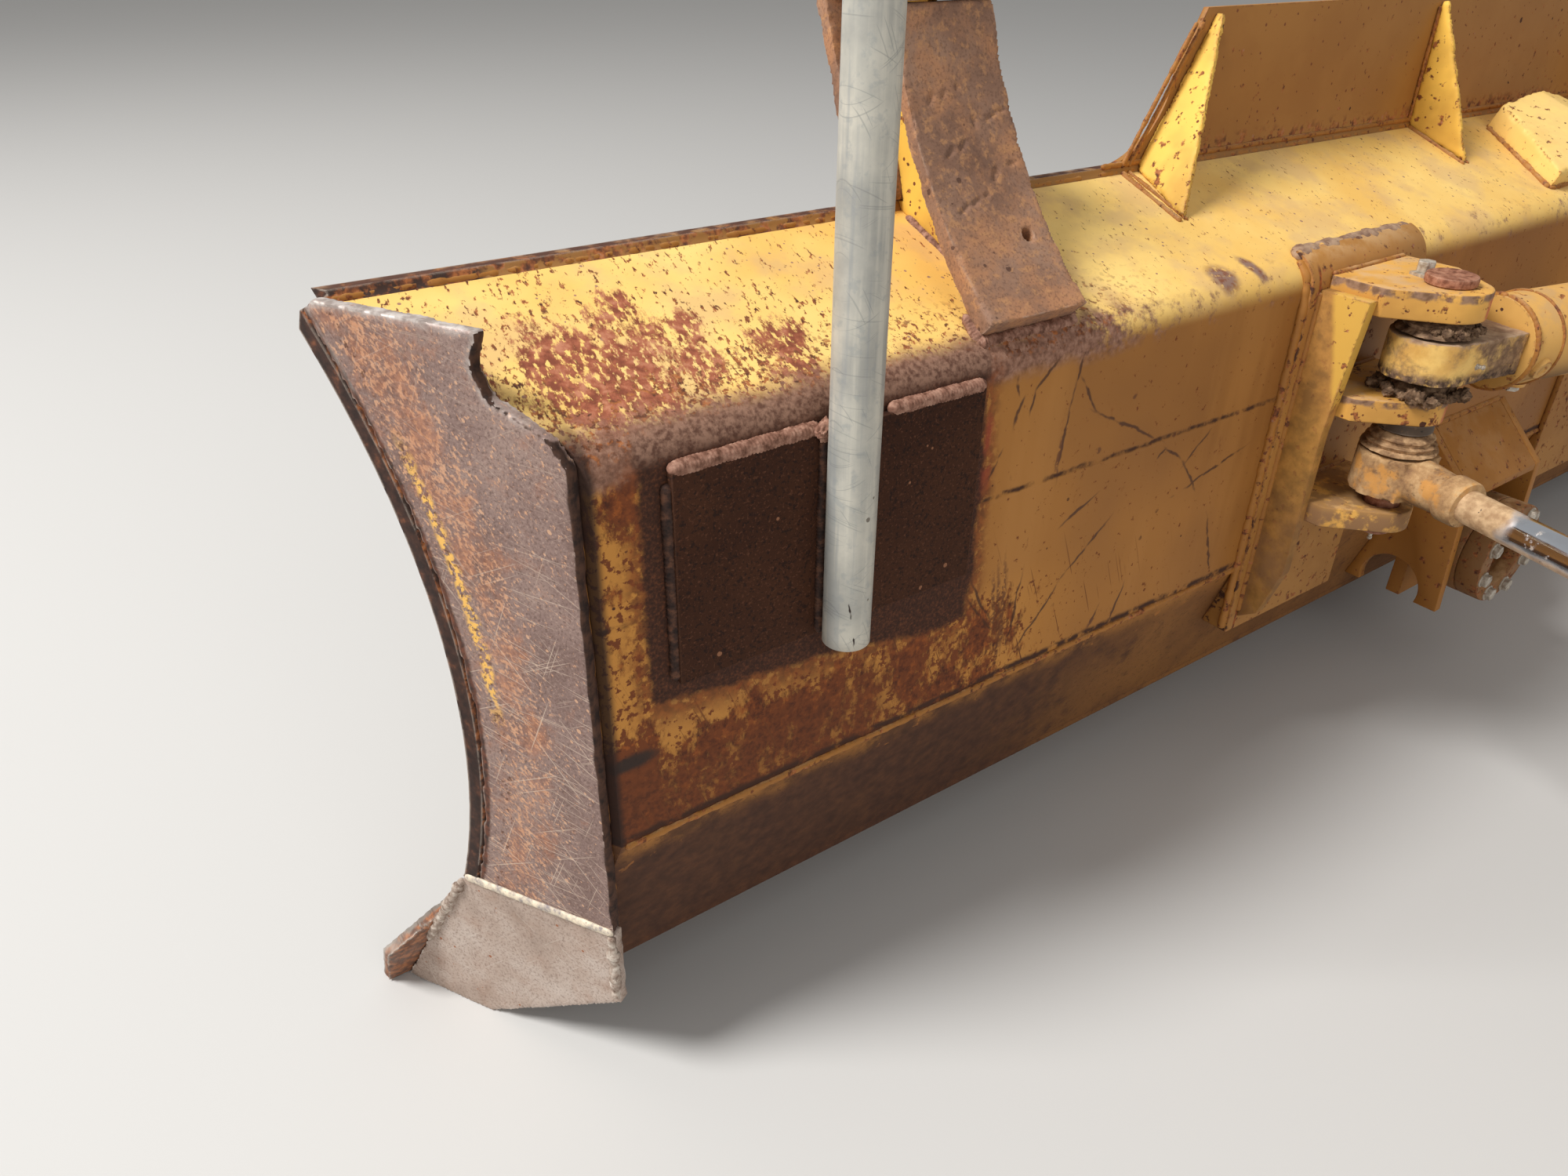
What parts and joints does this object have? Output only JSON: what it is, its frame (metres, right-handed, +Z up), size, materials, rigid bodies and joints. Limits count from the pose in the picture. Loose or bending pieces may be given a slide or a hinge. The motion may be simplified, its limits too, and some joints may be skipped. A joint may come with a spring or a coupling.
{
  "type": "bulldozer blade",
  "caption": "Wide angling and tilting dozer blade with flared end plates, spill guard, masts, pinned cylinders and a ball socket behind.",
  "frame": {"origin": "centre of the ball socket behind the blade, in which the push frame's ball sits", "axes": "+X along the blade to the right as seen from behind, +Y forward through the moldboard, +Z up"},
  "size_m": [4.424, 1.8105, 2.15],
  "materials": {
    "blade_paint": "worn ochre yellow paint, scratched and rusting",
    "worn_steel": "bare abraded steel with fine rust",
    "insert_steel": "ground grey steel",
    "rusty_steel": "dark brown pitted rust",
    "edge_steel": "polished by soil",
    "galvanised": "dull hot-dip galvanised",
    "pin_steel": "rusty machined steel",
    "cylinder_paint": "yellow paint with dust and grease",
    "eye_casting": "cast eye caked with dust",
    "chrome_rod": "hard chrome, dusty",
    "gland_steel": "dark machined steel"
  },
  "bodies": {
    "blade": {"moldboard": "blade_paint", "rear_skin": "blade_paint", "lower_plate": "blade_paint", "floor_plate": "blade_paint", "spill_guard": "blade_paint", "guard_gussets": "blade_paint", "deck_hood": "blade_paint", "socket_cheeks": "blade_paint", "socket_roof": "blade_paint", "socket_backing": "blade_paint", "bracket_plate_l": "blade_paint", "bracket_plate_r": "blade_paint", "bracket_lugs_l": "blade_paint", "bracket_lugs_r": "blade_paint", "bracket_brace_l": "blade_paint", "bracket_brace_r": "blade_paint", "horn_web_l": "blade_paint", "horn_web_r": "blade_paint", "end_plate_l": "worn_steel", "end_plate_r": "worn_steel", "end_wear_l": "insert_steel", "end_wear_r": "insert_steel", "mast_plate_l": "rusty_steel", "mast_plate_r": "rusty_steel", "horn_rear_l": "rusty_steel", "horn_rear_r": "rusty_steel", "horn_front_l": "rusty_steel", "horn_front_r": "rusty_steel", "cutting_edge": "edge_steel", "end_bit_l": "edge_steel", "end_bit_r": "edge_steel", "mast_l": "galvanised", "mast_r": "galvanised", "bracket_pin_l": "pin_steel", "bracket_pin_r": "pin_steel", "socket_cup": "pin_steel", "socket_cap": "pin_steel"},
    "tilt_barrel": {"tilt_eye": "cylinder_paint", "tilt_barrel": "cylinder_paint", "tilt_gland": "gland_steel"},
    "tilt_rod": {"tilt_rod": "chrome_rod", "tilt_rod_eye": "eye_casting"},
    "angle_rod_l": {"angle_eye_l": "eye_casting", "angle_rod_l": "chrome_rod"},
    "angle_barrel_l": {"angle_gland_l": "gland_steel", "angle_barrel_l": "cylinder_paint", "angle_base_eye_l": "eye_casting"},
    "angle_rod_r": {"angle_eye_r": "eye_casting", "angle_rod_r": "chrome_rod"},
    "angle_barrel_r": {"angle_gland_r": "gland_steel", "angle_barrel_r": "cylinder_paint", "angle_base_eye_r": "eye_casting"}
  },
  "joints": [
    {"name": "tilt_swing", "type": "hinge", "parent": "blade", "child": "tilt_barrel", "pos_m": [-0.572, -0.022, 0.535], "axis": [0, 0, 1], "range_deg": [-9, 9]},
    {"name": "tilt_stroke", "type": "slide", "parent": "tilt_barrel", "child": "tilt_rod", "axis": [0.9799, -0.1994, 0], "range_m": [-0.09, 0.09]},
    {"name": "angle_swing_l", "type": "hinge", "parent": "blade", "child": "angle_rod_l", "pos_m": [-0.572, -0.022, 0.336], "axis": [0, 0, 1], "range_deg": [-30, 25]},
    {"name": "angle_stroke_l", "type": "slide", "parent": "angle_rod_l", "child": "angle_barrel_l", "axis": [-0.2402, -0.9707, 0], "range_m": [-0.21, 0.22]},
    {"name": "angle_swing_r", "type": "hinge", "parent": "blade", "child": "angle_rod_r", "pos_m": [0.572, -0.022, 0.336], "axis": [0, 0, 1], "range_deg": [-25, 30]},
    {"name": "angle_stroke_r", "type": "slide", "parent": "angle_rod_r", "child": "angle_barrel_r", "axis": [-0.2402, 0.9707, 0], "range_m": [-0.22, 0.21]}
  ]
}
